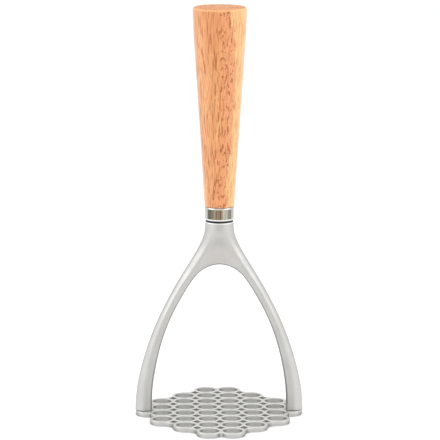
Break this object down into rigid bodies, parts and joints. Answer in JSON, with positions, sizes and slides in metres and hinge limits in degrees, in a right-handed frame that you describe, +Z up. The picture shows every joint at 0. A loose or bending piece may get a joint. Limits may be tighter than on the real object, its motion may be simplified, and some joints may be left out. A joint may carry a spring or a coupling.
{
  "type": "potato masher",
  "caption": "Hand potato masher: tapered turned wooden handle, steel ferrule, cast wishbone fork with curved arms, and a flat perforated mashing plate across its feet.",
  "frame": {"origin": "middle of the underside of the mashing plate, on the handle's axis", "axes": "+Z up along the handle, from the plate to the handle's end; X across the fork, from one foot to the other; Y from front to back, along the plate's longer way"},
  "size_m": [0.1022, 0.1122, 0.25],
  "materials": {
    "handle_wood": "oiled, straight orange-tan grain along the handle",
    "ferrule_steel": "polished stainless steel",
    "seal_rubber": "matt black",
    "insert_brass": "turned",
    "fastener_steel": "plain stainless steel",
    "cast_metal": "satin, bead-blasted casting"
  },
  "bodies": {
    "root": {"handle": "handle_wood", "ferrule": "ferrule_steel", "sealing_ring": "seal_rubber", "threaded_insert": "insert_brass", "tie_stud": "fastener_steel", "fork": "cast_metal", "mash_plate": "cast_metal", "plate_screw_left": "fastener_steel", "plate_screw_right": "fastener_steel"}
  },
  "joints": []
}
